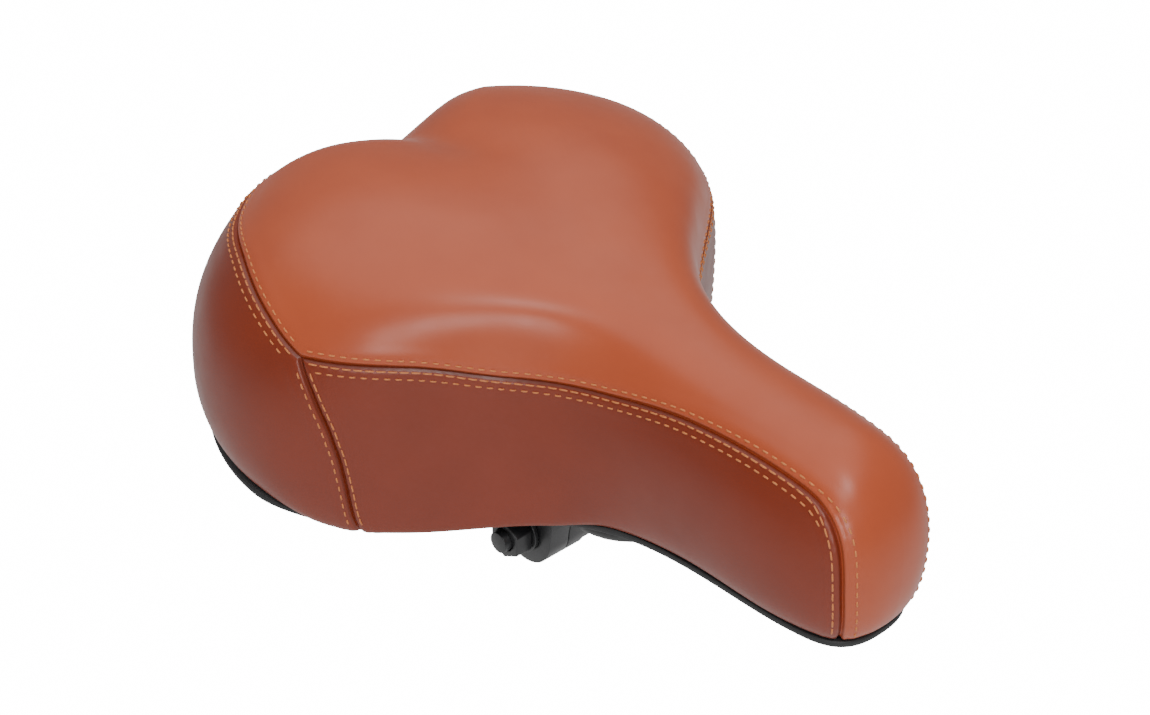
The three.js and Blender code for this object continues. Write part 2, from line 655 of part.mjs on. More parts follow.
function cheek(side, inner) {
  const [near, far] = inner
    ? [CHEEK.inner, CHEEK.rail - CHEEK.split] : [CHEEK.rail + CHEEK.split, CHEEK.outer];
  const [low, high] = side > 0 ? [near, far] : [-far, -near];
  return cut(
    prismY(cheekShape(), low, high, 14),
    rod("x", GROOVE_RADIUS, BOLT.x - 30, BOLT.x + 30, side * RAIL.clampY, RAIL.clampZ, 20),
    rod("y", BOLT_HOLE, low - 1, high + 1, BOLT.x, BOLT.z, 20),
  );
}

function boltRing(body, from, to) {
  return cut(body, rod("y", BOLT_HOLE, from - 1, to + 1, BOLT.x, BOLT.z, 20));
}

function clampWasher(side) {
  const [from, to] = side > 0 ? [WASHER.inner, WASHER.outer] : [-WASHER.outer, -WASHER.inner];
  return boltRing(rod("y", WASHER.radius, from, to, BOLT.x, BOLT.z, 28), from, to);
}

function clampNut(side) {
  const [from, to] = side > 0 ? [NUT.inner, NUT.outer] : [-NUT.outer, -NUT.inner];
  return boltRing(prismY(hexagon(NUT.acrossFlats, BOLT.x, BOLT.z), from, to), from, to);
}

// ---- Assembly -------------------------------------------------------------------------------

const SIDES = [["left", 1], ["right", -1]];

add("top_cover_panel", topPanel(), topLeather);
add("rear_cover_panel", rearPanel(), sideLeather);
add("foam_pad", foamPad(), foamFinish);
add("base_shell", baseShell(), blackPlastic);
for (const [name, side] of SIDES) {
  add(`${name}_side_panel`, sidePanel(side), sideLeather);
  add(`rail_${name}`, railWire(side), blackSteel);
  add(`bumper_${name}`, bumper(side), rubber);
  add(`clamp_cheek_inner_${name}`, cheek(side, true), blackSteel);
  add(`clamp_cheek_outer_${name}`, cheek(side, false), blackSteel);
  add(`clamp_washer_${name}`, clampWasher(side), blackSteel);
  add(`clamp_nut_${name}`, clampNut(side), blackSteel);
}
add("rear_bridge", rearBridge(), blackSteel);
add("guide_bolt", guideBolt(), zincSteel);
add("guide_washer", guideRing(rod("z", 7.5, -3.4, -1.8, GUIDE.x, 0, 24), -3.4, -1.8), zincSteel);
add("guide_nut", guideNut(), zincSteel);
add("nose_pivot_block", pivotBlock(), blackPlastic);
add("nose_pivot_pin", pivotPin(), zincSteel);
add("nose_pin_clip", pinClip(), zincSteel);
add("nose_bracket", noseBracket(), blackSteel);
NOSE_SCREWS.forEach((x, i) => add(`nose_screw_${["rear", "front"][i]}`, noseScrew(x), zincSteel));
add("clamp_band", clampBand(), blackSteel);
add("cross_bolt", rod("y", BOLT.radius, -BOLT.halfLength, BOLT.halfLength, BOLT.x, BOLT.z, 20), blackSteel);

saddle.position.copy(ORIGIN).negate();
const row = new THREE.Group();
row.add(saddle);

export default row;
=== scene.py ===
"""Looks of the comfort bicycle saddle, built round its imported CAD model.

Lengths in the shape section are millimetres in saddle coordinates: +X to the nose, +Y to the rider's
left, +Z up, with zero height near the skirt's lower edge. to_row() turns them into metres in the row
frame, whose origin is the mouth of the seat post socket.
"""
import json
import math

import bmesh
import bpy
import numpy as np
from mathutils import Matrix, Vector
from mathutils.bvhtree import BVHTree


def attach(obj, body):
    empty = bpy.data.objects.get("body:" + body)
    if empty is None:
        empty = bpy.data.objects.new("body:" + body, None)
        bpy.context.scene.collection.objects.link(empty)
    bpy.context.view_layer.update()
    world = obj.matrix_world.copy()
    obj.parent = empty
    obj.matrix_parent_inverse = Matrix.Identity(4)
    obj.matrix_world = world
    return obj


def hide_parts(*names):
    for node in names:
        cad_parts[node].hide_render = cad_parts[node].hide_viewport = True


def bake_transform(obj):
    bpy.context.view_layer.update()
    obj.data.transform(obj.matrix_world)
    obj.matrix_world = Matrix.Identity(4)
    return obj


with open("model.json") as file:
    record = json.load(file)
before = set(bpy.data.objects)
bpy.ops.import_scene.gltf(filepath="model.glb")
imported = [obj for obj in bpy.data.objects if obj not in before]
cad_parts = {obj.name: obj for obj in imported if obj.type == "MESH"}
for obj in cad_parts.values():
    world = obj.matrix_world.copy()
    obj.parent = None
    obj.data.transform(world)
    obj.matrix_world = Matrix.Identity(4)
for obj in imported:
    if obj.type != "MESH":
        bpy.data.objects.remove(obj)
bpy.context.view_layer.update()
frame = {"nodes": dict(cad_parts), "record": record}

# ---- Driving dimensions, the same as the CAD model's -----------------------------------------

# Half outline, rear centre to nose tip: x, y, widest height, edge height, roundness, tuck.
OUTLINE = np.array([
    [-110, 0, 23, 10, 2.4, 4.5],
    [-119, 38, 22, 9, 2.4, 5],
    [-119, 62, 21, 7, 2.5, 6],
    [-90, 97, 20, 0, 2.6, 7],
    [-53, 108, 21, -9, 2.6, 7],
    [-12, 93, 23, -16, 2.6, 7],
    [14, 43, 24, -15, 2.5, 6],
    [48, 24, 24, -7, 2.4, 6],
    [104, 28, 22, -3, 2.4, 6],
    [147, 25, 20, -3, 2.4, 6],
    [151, 0, 20, -4, 2.4, 6],
])
CROWN = (86, 92, 92, 84, 73, 64, 63, 60)
CROWN_FROM, CROWN_TO = -120, 140
GROOVE_DEPTH, GROOVE_HALF_WIDTH, GROOVE_END_X, GROOVE_FADE = 10, 28, -52, 20
SPINE_REAR_X, SPINE_NOSE_X, SPINE_REAR_U, SPINE_NOSE_U = -62, 118, 2.2, 8.6
SKIRT_TURN = 0.9 * math.pi / 2
ORIGIN = np.array([-7.0, 0.0, -44.0])
RIM_SHOWN = 3.0
RIM_HIDDEN_U = (4.1, 4.8, 6.3, 6.9)
LAST_U = len(OUTLINE) - 1
QUARTER = math.pi / 2
CHART_LENGTH = (SPINE_NOSE_U - SPINE_REAR_U) * 0.75

# Seams, in chart coordinates (forward, out).
REAR_CENTRE, JUNCTION, LOWER_END = (-5.4, 0), (-3, 0.7), (-2.7, 2)
REAR_SEAM = [REAR_CENTRE, (-5.36, 0.22), (-5.2, 0.39), (-4.9, 0.52), (-4.5, 0.555), (-3.9, 0.565),
             (-3.4, 0.62), JUNCTION]
LOWER_SEAM = [JUNCTION, (-2.84, 0.83), (-2.73, 1), (-2.69, 1.3), (-2.69, 1.65), LOWER_END]
SIDE_SEAM = [JUNCTION, (-2.4, 0.69), (-1.9, 0.72), (-1.35, 0.67), (-0.85, 0.55), (-0.4, 0.495), (0, 0.51),
             (0.3, 0.61), (0.5, 0.79), (0.72, 1.03), (0.98, 1.3), (1.23, 1.58)]
NOSE_CORNER = 7 / 11
EDGE_AT_NOSE_SEAM = 2 * math.atan2(1.23, 1.58)
EDGE_AT_REAR = -CHART_LENGTH - 2 * QUARTER

# ---- Looks -----------------------------------------------------------------------------------

# Cover, foam and rim.
COVER_THICKNESS = 1.6
FOAM_INSET, FOAM_END, FOAM_TOP_GAP, PAN_CLEARANCE = 4.2, 1.75, 0.9, 1.4
RAIL_ARCH, RAIL_ARCH_U = 9.0, (5.4, 6.2, 7.3, 8)
PAN_INSET_SHOULDER, PAN_INSET_EDGE = 8.5, 4.5
PAN_CROWN = (34, 38, 39, 38, 36, 33, 31, 29)
BEAD_REAR_INSET, BEAD_NOSE_INSET = -2.2, -0.5
BEAD_HIDDEN_INSET, BEAD_INNER_INSET, BEAD_BOTTOM, BEAD_TOP = 2.4, 3.2, 0.3, 2.9
BEAD_GAP, BEAD_ROUNDING = 0.15, 0.6

# Relief of the sewn leather: seam groove, raised seam allowance, fullness, waves, middle crease.
SEAM_DEPTH, SEAM_WIDTH = 1.1, 0.75
FELL_HEIGHT, FELL_WIDTH = 0.2, 6.0
PANEL_CROWN, PANEL_CROWN_REACH = 0.3, 30.0
SHORT_WAVE, SHORT_WAVE_HEIGHT, LONG_WAVE, LONG_WAVE_HEIGHT = 9, 0.16, 27, 0.25
CREASE_DEPTH, CREASE_HALF_WIDTH, CREASE_START, CREASE_FULL = 2.4, 9.0, 35, 80

# Stitches, and the distances of their rows from the seam.
STITCH_PITCH, STITCH_RADIUS = 3.7, 0.32
STITCH_SHORT, STITCH_LONG = 2.3, 3.2
STITCH_DIP, STITCH_DIP_WIDTH = 0.2, 0.55
TOP_ROW, NEAR_ROW, FAR_ROW, LOWER_ROW = 2.6, 1.5, 3.9, 2.2
NOSE_TOP_ROW, NOSE_SIDE_ROW = 4.6, 2.8
NOSE_ROWS_START, NOSE_ROWS_END, FAR_ROW_END = 126, 140, 138
# Each ring of a stitch: place along it, share of the full radius, height over the leather.
STITCH_PROFILE = ((-0.5, 0.45, -0.28), (-0.38, 0.9, 0.02), (-0.15, 1, 0.12), (0.15, 1, 0.12),
                  (0.38, 0.9, 0.02), (0.5, 0.45, -0.28))

# Hardware: edge rounding in millimetres, and the solids that soft pieces stand for.
ROUNDING = {"clamp_nut_left": 0.4, "clamp_nut_right": 0.4, "clamp_band": 0.5, "clamp_cheek_inner_left": 0.7,
            "clamp_cheek_inner_right": 0.7, "clamp_cheek_outer_left": 0.7, "clamp_cheek_outer_right": 0.7,
            "rear_bridge": 0.5, "nose_pivot_block": 0.8}
DEFAULT_ROUNDING, BUMPER_ROUNDING = 0.25, 0.6
SHARP_DEGREES = 35
SOFT_NODES = ("foam_pad", "bumper_left", "bumper_right", "top_cover_panel", "rear_cover_panel",
              "left_side_panel", "right_side_panel")

# Mesh density: rows and columns of the top panel, points round the rim bead and the foam.
QUICK_GRID, FULL_GRID = (180, 30), (380, 52)
REAR_SHARE = 0.42
BEAD_POINTS = 420
QUICK_FOAM, FULL_FOAM, FOAM_ROWS = 180, 320, 40

# Studio and camera, in metres and degrees.
BACKDROP_GLOW, ROOM_LIGHT = 16, 0.38
FLOOR_HALF_SIZE, FLOOR_HEIGHT = 8, -0.32
CAMERA_POSITION = (0.45529, -0.42027, 0.48244)
CAMERA_AZIMUTH, CAMERA_ELEVATION, CAMERA_ROLL, CAMERA_LENS = 46.6, 33.83, 1.21, 67.6


def smoothstep(x, low, high):
    t = np.clip((x - low) / (high - low), 0, 1)
    return t * t * (3 - 2 * t)


def plateau(x, start, full, fading, end):
    """0 outside start and end, 1 between full and fading, smooth between them."""
    return smoothstep(x, start, full) * (1 - smoothstep(x, fading, end))


def to_row(points):
    return (np.asarray(points, float) - ORIGIN) / 1000


# ---- The saddle's surface --------------------------------------------------------------------

def spline_weights(f):
    return ((1 - f) ** 3 / 6, (3 * f ** 3 - 6 * f ** 2 + 4) / 6,
            (-3 * f ** 3 + 3 * f ** 2 + 3 * f + 1) / 6, f ** 3 / 6)


def stations(u):
    """Outline stations at u, where both ends go on into the mirrored other half."""
    mirror = np.array([1, -1, 1, 1, 1, 1])
    rows = np.vstack([OUTLINE[1] * mirror, OUTLINE, OUTLINE[-2] * mirror, OUTLINE[-3] * mirror])
    first = np.minimum(np.floor(u).astype(int), LAST_U)
    return sum(w[..., None] * rows[first + k] for k, w in enumerate(spline_weights(u - first)))


def crown_height(heights, x):
    ahead = 2 * heights[-1] - heights[-2]
    rows = np.array([2 * heights[0] - heights[1], *heights, ahead, ahead])
    u = np.clip((x - CROWN_FROM) / (CROWN_TO - CROWN_FROM), 0, 1) * (len(heights) - 1)
    first = np.floor(u).astype(int)
    return sum(w * rows[first + k] for k, w in enumerate(spline_weights(u - first)))


def top_height(x, y):
    fade = 1 / (1 + np.exp((x - GROOVE_END_X) / GROOVE_FADE))
    crease = CREASE_DEPTH * smoothstep(-x, CREASE_START, CREASE_FULL) * np.exp(-(y / CREASE_HALF_WIDTH) ** 2)
    return crown_height(CROWN, x) - GROOVE_DEPTH * fade * np.exp(-(y / GROOVE_HALF_WIDTH) ** 2) - crease


def layer(u, v, inset=0.0, crown=top_height, lift=0.0):
    """Points on a layer of the saddle: u along the half outline, v from spine (0) to edge (2)."""
    row = stations(u)
    x, y, widest, edge, roundness, tuck = np.moveaxis(row, -1, 0)
    along = np.clip((u - SPINE_REAR_U) / (SPINE_NOSE_U - SPINE_REAR_U), 0, 1)
    spine_x = SPINE_REAR_X + (SPINE_NOSE_X - SPINE_REAR_X) * along
    rib = np.hypot(x - spine_x, y)
    angle = np.clip(1 - v, 0, 1) * QUARTER
    cos, sin = np.cos(angle), np.sin(angle)
    norm = (cos ** roundness + sin ** roundness) ** (1 / roundness)
    out = (1 - inset / rib) * cos / norm
    top_x, top_y = spine_x + (x - spine_x) * out, y * out
    turn = np.clip(v - 1, 0, 1) * SKIRT_TURN
    pull = tuck * (1 - np.cos(turn)) / rib
    below = widest - (widest - edge - lift) * np.sin(turn) / math.sin(SKIRT_TURN)
    above = widest + (crown(top_x, top_y) - widest) * sin / norm
    return np.stack([top_x - (x - spine_x) * pull, top_y - y * pull, np.where(v > 1, below, above)], -1)


def from_chart(forward, out):
    """u and v of chart coordinates. Both ends of the chart are quarter discs."""
    nose, behind = forward > 0, -forward - CHART_LENGTH
    rear = behind > 0
    v = np.where(nose, np.hypot(forward, out), np.where(rear, np.hypot(behind, out), out))
    nose_u = LAST_U - np.arctan2(out, np.maximum(forward, 1e-9)) / QUARTER * (LAST_U - SPINE_NOSE_U)
    rear_u = np.arctan2(out, np.maximum(behind, 1e-9)) / QUARTER * SPINE_REAR_U
    middle_u = SPINE_NOSE_U + forward / CHART_LENGTH * (SPINE_NOSE_U - SPINE_REAR_U)
    return np.where(nose, nose_u, np.where(rear, rear_u, middle_u)), v


def rim_hidden(u):
    """1 at the waist, where the cover hides the rim."""
    return plateau(u, *RIM_HIDDEN_U)


def cover_lift(u):
    """How far the cover ends above the rim's lower edge."""
    return RIM_SHOWN * (1 - rim_hidden(u))


def on_cover(chart):
    """Cover points of chart coordinates, whose out coordinate is negative on the right."""
    u, v = from_chart(chart[..., 0], np.abs(chart[..., 1]))
    points = layer(u, v, lift=cover_lift(u) + COVER_THICKNESS / 2)
    points[..., 1] *= np.sign(chart[..., 1])
    return points


# ---- Chart curves and patches ----------------------------------------------------------------

def curve(points, t):
    """A Catmull-Rom curve through the points, at fractions t."""
    on_middle = points[0][1] == 0
    before = (points[1][0], -points[1][1]) if on_middle else points[0]
    rows = np.array([before, *points, points[-1], points[-1]], float)
    place = np.clip(t, 0, 1) * (len(points) - 1)
    first = np.minimum(np.floor(place).astype(int), len(points) - 2)
    f = (place - first)[..., None]
    a, b, c, d = (rows[first + k] for k in range(4))
    square, cube = 2 * a - 5 * b + 4 * c - d, 3 * b - a - 3 * c + d
    return 0.5 * (2 * b + (c - a) * f + square * f ** 2 + cube * f ** 3)


def edge(distance):
    """Chart points on the lower edge, by distance along it from below the spine's nose end."""
    front, back = np.maximum(distance, 0) / 2, np.maximum(-distance - CHART_LENGTH, 0) / 2
    straight = np.clip(distance, -CHART_LENGTH, 0)
    forward = straight + 2 * np.sin(front) - 2 * np.sin(back)
    return np.stack([forward, 2 * np.cos(front + back)], -1)


def even(sample, count=600):
    """Turns a chart curve sample(t) into one whose t runs evenly over the distance on the cover."""
    t = np.linspace(0, 1, count)
    points = on_cover(sample(t))
    length = np.concatenate([[0], np.cumsum(np.linalg.norm(np.diff(points, axis=0), axis=1))])
    return lambda s: sample(np.interp(s * length[-1], length, t))


def coons(near, far, left, right, s, t):
    """Chart points of a four-sided patch. Near and far run along s, left and right along t."""
    zero, one = np.zeros(1), np.ones(1)
    corner = {(i, j): (near, far)[j]((zero, one)[i]) for i in (0, 1) for j in (0, 1)}
    s_, t_ = s[..., None], t[..., None]
    ruled = near(s) * (1 - t_) + far(s) * t_ + left(t) * (1 - s_) + right(t) * s_
    return (ruled - corner[0, 0] * (1 - s_) * (1 - t_) - corner[1, 0] * s_ * (1 - t_)
            - corner[0, 1] * (1 - s_) * t_ - corner[1, 1] * s_ * t_)


def spaced(count, near_start, near_end):
    """Fractions from 0 to 1, packed more closely near the ends asked for."""
    x = np.linspace(0, 1, count)
    density = 1 + near_start * np.exp(-x / 0.08) + near_end * np.exp(-(1 - x) / 0.08)
    step = 1 / np.interp((x[:-1] + x[1:]) / 2, x, density)
    total = np.concatenate([[0], np.cumsum(step)])
    return total / total[-1]


def top_chart(s, t):
    """Ruled from the middle line (t = 0) to the seam (t = 1). Down the nose the rows become arcs."""
    rear = even(lambda x: curve(REAR_SEAM, x))
    side = even(lambda x: curve(SIDE_SEAM, x))
    far = np.where((s < REAR_SHARE)[..., None], rear(np.minimum(s / REAR_SHARE, 1)),
                   side(np.maximum((s - REAR_SHARE) / (1 - REAR_SHARE), 0)))
    front = np.maximum(far[..., 0] / SIDE_SEAM[-1][0], 0)
    near = np.where(far[..., 0] > 0, front * 2, far[..., 0])
    middle = np.stack([near, np.zeros_like(near)], -1)
    ruled = middle + (far - middle) * t[..., None]
    radius = near + (np.hypot(far[..., 0], far[..., 1]) - near) * t
    angle = np.arctan2(far[..., 1], far[..., 0]) * t
    arc = np.stack([radius * np.cos(angle), radius * np.sin(angle)], -1)
    share = smoothstep(front, 0, 1)[..., None]
    return ruled * (1 - share) + arc * share


def side_chart(s, t):
    return coons(even(lambda x: curve(SIDE_SEAM, x * NOSE_CORNER)),
                 even(lambda x: edge(LOWER_END[0] + (EDGE_AT_NOSE_SEAM - LOWER_END[0]) * x)),
                 even(lambda x: curve(LOWER_SEAM, x)),
                 even(lambda x: curve(SIDE_SEAM, NOSE_CORNER + (1 - NOSE_CORNER) * x)), s, t)


def rear_chart(s, t):
    """From the rear middle (s = 0) to the lower seam (s = 1)."""
    low = -CHART_LENGTH - 2
    return coons(even(lambda x: curve(REAR_SEAM, x)),
                 even(lambda x: edge(EDGE_AT_REAR + (LOWER_END[0] - EDGE_AT_REAR) * x)),
                 even(lambda x: np.stack([REAR_CENTRE[0] + (low - REAR_CENTRE[0]) * x, 0 * x], -1)),
                 even(lambda x: curve(LOWER_SEAM, x)), s, t)


# ---- Seams in space --------------------------------------------------------------------------

def seam_chart(points, side, count=600):
    return even(lambda x: curve(points, x))(np.linspace(0, 1, count)) * np.array([1, side])


def arc_lengths(line):
    return np.concatenate([[0], np.cumsum(np.linalg.norm(np.diff(line, axis=0), axis=1))])


def nearest_on(line, points):
    """Distance from each point to the line, and how far along the line the nearest place is."""
    start, along = line[:-1], np.diff(line, axis=0)
    square, arcs = (along ** 2).sum(1), arc_lengths(line)
    best, place = np.full(len(points), 1e9), np.zeros(len(points))
    for low in range(0, len(points), 4000):
        part = points[low:low + 4000]
        near = np.argmin((line ** 2).sum(1) - 2 * part @ line.T, axis=1)
        for k in (np.maximum(near - 1, 0), np.minimum(near, len(along) - 1)):
            share = np.clip(((part - start[k]) * along[k]).sum(1) / square[k], 0, 1)
            gap = np.linalg.norm(part - start[k] - along[k] * share[:, None], axis=1)
            closer = gap < best[low:low + 4000]
            best[low:low + 4000][closer] = gap[closer]
            place[low:low + 4000][closer] = (arcs[k] + np.sqrt(square[k]) * share)[closer]
    return best, place


def nearest_seam(points, lines):
    flat = points.reshape(-1, 3)
    best, place = np.full(len(flat), 1e9), np.zeros(len(flat))
    for line in lines:
        gap, along = nearest_on(line, flat)
        closer = gap < best
        best[closer], place[closer] = gap[closer], along[closer]
    return best.reshape(points.shape[:-1]), place.reshape(points.shape[:-1])


# ---- Meshes ----------------------------------------------------------------------------------

def make_mesh(name, points, faces, sharp_degrees=None):
    """A closed, smooth-shaded mesh object from points in saddle millimetres."""
    mesh = bpy.data.meshes.new(name)
    mesh.from_pydata([tuple(p) for p in to_row(points)], [], [tuple(map(int, f)) for f in faces])
    bm = bmesh.new()
    bm.from_mesh(mesh)
    bmesh.ops.remove_doubles(bm, verts=bm.verts, dist=2e-6)
    bmesh.ops.dissolve_degenerate(bm, edges=bm.edges, dist=1e-7)
    bmesh.ops.recalc_face_normals(bm, faces=bm.faces)
    bm.to_mesh(mesh)
    bm.free()
    mesh.shade_smooth()
    if sharp_degrees:
        mesh.set_sharp_from_angle(angle=math.radians(sharp_degrees))
    obj = bpy.data.objects.new(name, mesh)
    bpy.context.scene.collection.objects.link(obj)
    return obj


def dress(obj, material, replaces=()):
    """Gives a piece its material, and hides the solids that it stands for."""
    obj.data.materials.clear()
    obj.data.materials.append(material)
    if replaces:
        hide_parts(*replaces)
    return obj


def finish_piece(obj, material, body, replaces=()):
    """Dresses a piece that moves with one body."""
    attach(obj, body)
    return dress(obj, material, replaces)


def cover_normals(chart):
    """Outward unit normals of the cover at chart points."""
    step = 0.01
    ahead, beside = np.array([step, 0]), np.array([0, step])
    along = on_cover(chart + ahead) - on_cover(chart - ahead)
    across = on_cover(chart + beside) - on_cover(chart - beside)
    normals = np.cross(along, across)
    return normals / np.maximum(np.linalg.norm(normals, axis=-1, keepdims=True), 1e-9)


def ripple(points, size):
    """A slow, even wave over the surface, between -1 and 1."""
    x, y, z = np.moveaxis(points / size, -1, 0)
    return (np.sin(x + 1.7 * np.sin(0.6 * y)) * np.sin(1.1 * y + 0.8) + np.sin(0.7 * z + 0.5 * x)) / 2


def relief(points, lines, rows):
    """Height of the sewn leather over the smooth cover."""
    gap, along = nearest_seam(points, lines)
    height = -SEAM_DEPTH * np.exp(-(gap / SEAM_WIDTH) ** 2)
    height += FELL_HEIGHT * smoothstep(gap, 0.4, 1.6) * (1 - smoothstep(gap, FELL_WIDTH - 2, FELL_WIDTH + 2))
    pull = 0.6 + 0.4 * np.cos(2 * math.pi * along / STITCH_PITCH)
    for row in rows:
        height -= STITCH_DIP * pull * np.exp(-((gap - row) / STITCH_DIP_WIDTH) ** 2)
    height += PANEL_CROWN * smoothstep(gap, FELL_WIDTH - 1, PANEL_CROWN_REACH)
    height += (SHORT_WAVE_HEIGHT * ripple(points, SHORT_WAVE) * smoothstep(gap, 3, 12)
               + LONG_WAVE_HEIGHT * ripple(points, LONG_WAVE))
    return height


def border(rows, columns):
    """Point numbers of a grid, the ring round its edge, and for each point its neighbour inwards."""
    index = np.arange(rows * columns).reshape(rows, columns)
    ring = [*index[0, :-1], *index[:-1, -1], *index[-1, :0:-1], *index[:0:-1, 0]]
    inner = index.copy()
    inner[0], inner[-1] = index[1], index[-2]
    inner[1:-1, 0], inner[1:-1, -1] = index[1:-1, 1], index[1:-1, -2]
    return index, np.array(ring), inner


def sheet_faces(index):
    """Quads of the outside, each followed by the inside's, whose points come after the outside's."""
    faces = []
    for i in range(index.shape[0] - 1):
        for j in range(index.shape[1] - 1):
            quad = (index[i, j], index[i + 1, j], index[i + 1, j + 1], index[i, j + 1])
            faces += [quad, tuple(k + index.size for k in reversed(quad))]
    return faces


def over_border(points, normals, ring, inner):
    """Unit directions along the surface that lead out over the edge of a panel."""
    away = points[ring] - points[inner.reshape(-1)[ring]]
    away -= normals[ring] * (away * normals[ring]).sum(1, keepdims=True)
    return away / np.maximum(np.linalg.norm(away, axis=1, keepdims=True), 1e-9)


def sewn_panel(name, chart, lines, rows, hems, material):
    """A leather panel of the cover: relief outside, smooth inside, rounded hems on the sides named."""
    base, normals = on_cover(chart), cover_normals(chart)
    outside = base + normals * relief(base, lines, rows)[..., None]
    shape = chart.shape[:2]
    index, ring, inner = border(*shape)
    bulge = np.zeros(shape)
    for side in hems:
        bulge[side] = COVER_THICKNESS / 2
    flat, flat_normals = outside.reshape(-1, 3), normals.reshape(-1, 3)
    away = over_border(flat, flat_normals, ring, inner)
    sheet = sheet_faces(index)
    points, faces, previous = [flat], list(sheet), ring
    points.append((base - normals * COVER_THICKNESS).reshape(-1, 3))
    first = 2 * index.size
    for angle in (0.25 * math.pi, 0.5 * math.pi, 0.75 * math.pi):
        drop = COVER_THICKNESS / 2 * (1 - math.cos(angle))
        level = flat[ring] - flat_normals[ring] * drop
        points.append(level + away * (bulge.reshape(-1)[ring] * math.sin(angle))[:, None])
        current = np.arange(first, first + len(ring))
        faces += band(previous, current)
        first, previous = first + len(ring), current
    faces += band(previous, ring + index.size)
    obj = make_mesh(name + "_sewn", np.vstack(points), faces)
    mark_seams(obj, lines)
    tree = BVHTree.FromPolygons([Vector(p) for p in flat], sheet[::2])
    finish_piece(obj, material, "seat", [name])
    return tree


def band(first, second):
    """Quads between two rings with the same number of points."""
    count = len(first)
    return [(first[k], first[(k + 1) % count], second[(k + 1) % count], second[k]) for k in range(count)]


def mark_seams(obj, lines):
    """Stores the distance to the nearest seam, in millimetres, for the painted shade in the leather's seam
    grooves.
    """
    points = np.zeros(len(obj.data.vertices) * 3)
    obj.data.vertices.foreach_get("co", points)
    gap, _ = nearest_seam(points.reshape(-1, 3) * 1000 + ORIGIN, lines)
    layer_data = obj.data.attributes.new("seam_gap", "FLOAT", "POINT")
    layer_data.data.foreach_set("value", gap.astype(np.float32))


# ---- Stitching -------------------------------------------------------------------------------

def row_beside(chart, offset, tree):
    """Points and normals at a distance from a seam, on the panel that the tree holds."""
    line, up = on_cover(chart), cover_normals(chart)
    aside = np.cross(up, np.gradient(line, axis=0))
    aside *= np.reshape(offset, (-1, 1)) / np.linalg.norm(aside, axis=1, keepdims=True)
    found = [[tree.find_nearest(Vector(p)) for p in line + aside * sign] for sign in (1, -1)]
    hits = min(found, key=lambda row: sum(hit[3] for hit in row))
    return np.array([hit[0] for hit in hits]), up


def stitches(line, normals, length, start, end):
    """Thread stitches along a row, each one a short rounded bar that dips in at both ends."""
    arcs = arc_lengths(line)
    centre = np.array([0, 0, 20.0])
    points, faces = [], []
    sides = 8
    for middle in np.arange(start + length / 2, arcs[-1] - end - length / 2, STITCH_PITCH):
        spots = [np.array([np.interp(middle + f * length, arcs, line[:, k]) for k in range(3)])
                 for f, _, _ in STITCH_PROFILE]
        out = np.array([np.interp(middle, arcs, normals[:, k]) for k in range(3)])
        out /= np.linalg.norm(out)
        out *= np.sign(out @ (spots[2] - centre)) or 1
        way = spots[-1] - spots[0]
        way /= np.linalg.norm(way)
        across = np.cross(out, way)
        first = len(points)
        for spot, (_, width, rise) in zip(spots, STITCH_PROFILE):
            for k in range(sides):
                turn = 2 * math.pi * k / sides
                points.append(spot + out * (rise + STITCH_RADIUS * width * math.sin(turn))
                              + across * STITCH_RADIUS * width * math.cos(turn))
        for ring in range(len(STITCH_PROFILE) - 1):
            a = first + ring * sides
            faces += [(a + k, a + (k + 1) % sides, a + sides + (k + 1) % sides, a + sides + k)
                      for k in range(sides)]
        faces.append(tuple(first + k for k in reversed(range(sides))))
        faces.append(tuple(first + (len(STITCH_PROFILE) - 1) * sides + k for k in range(sides)))
    return points, faces


def thread_rows(name, rows, material):
    """One thread piece from several rows of (seam, offset, panel, stitch length, start, end)."""
    points, faces = [], []
    for seam, offset, tree, length, start, end in rows:
        spots, normals = row_beside(seam, np.broadcast_to(offset, len(seam)), tree)
        row_points, row_faces = stitches(spots, normals, length, start, end)
        faces += [tuple(k + len(points) for k in face) for face in row_faces]
        points += row_points
    return finish_piece(make_mesh(name, np.array(points), faces), material, "seat")


# ---- Materials -------------------------------------------------------------------------------

def new_material(name, color, roughness, metallic=0.0, specular=0.5):
    material = bpy.data.materials.new(name)
    material.use_nodes = True
    nodes, links = material.node_tree.nodes, material.node_tree.links
    shader = nodes["Principled BSDF"]
    shader.inputs["Base Color"].default_value = (*color, 1)
    shader.inputs["Roughness"].default_value = roughness
    shader.inputs["Metallic"].default_value = metallic
    shader.inputs["Specular IOR Level"].default_value = specular
    place = nodes.new("ShaderNodeTexCoord")
    return material, nodes, links, shader, place.outputs["Object"]


def noise(nodes, links, place, scale, detail=3.0, roughness=0.5):
    texture = nodes.new("ShaderNodeTexNoise")
    texture.inputs["Scale"].default_value = scale
    texture.inputs["Detail"].default_value = detail
    texture.inputs["Roughness"].default_value = roughness
    links.new(place, texture.inputs["Vector"])
    return texture.outputs["Fac"]


def ranged(nodes, links, value, low, high, from_low=0.3, from_high=0.7):
    fit = nodes.new("ShaderNodeMapRange")
    for key, number in (("From Min", from_low), ("From Max", from_high), ("To Min", low), ("To Max", high)):
        fit.inputs[key].default_value = number
    links.new(value, fit.inputs["Value"])
    return fit.outputs["Result"]


def mixed(nodes, links, share, first, second):
    mix = nodes.new("ShaderNodeMix")
    mix.data_type = "RGBA"
    links.new(share, mix.inputs["Factor"])
    for socket, color in ((mix.inputs[6], first), (mix.inputs[7], second)):
        if isinstance(color, tuple):
            socket.default_value = (*color, 1)
        else:
            links.new(color, socket)
    return mix.outputs[2]


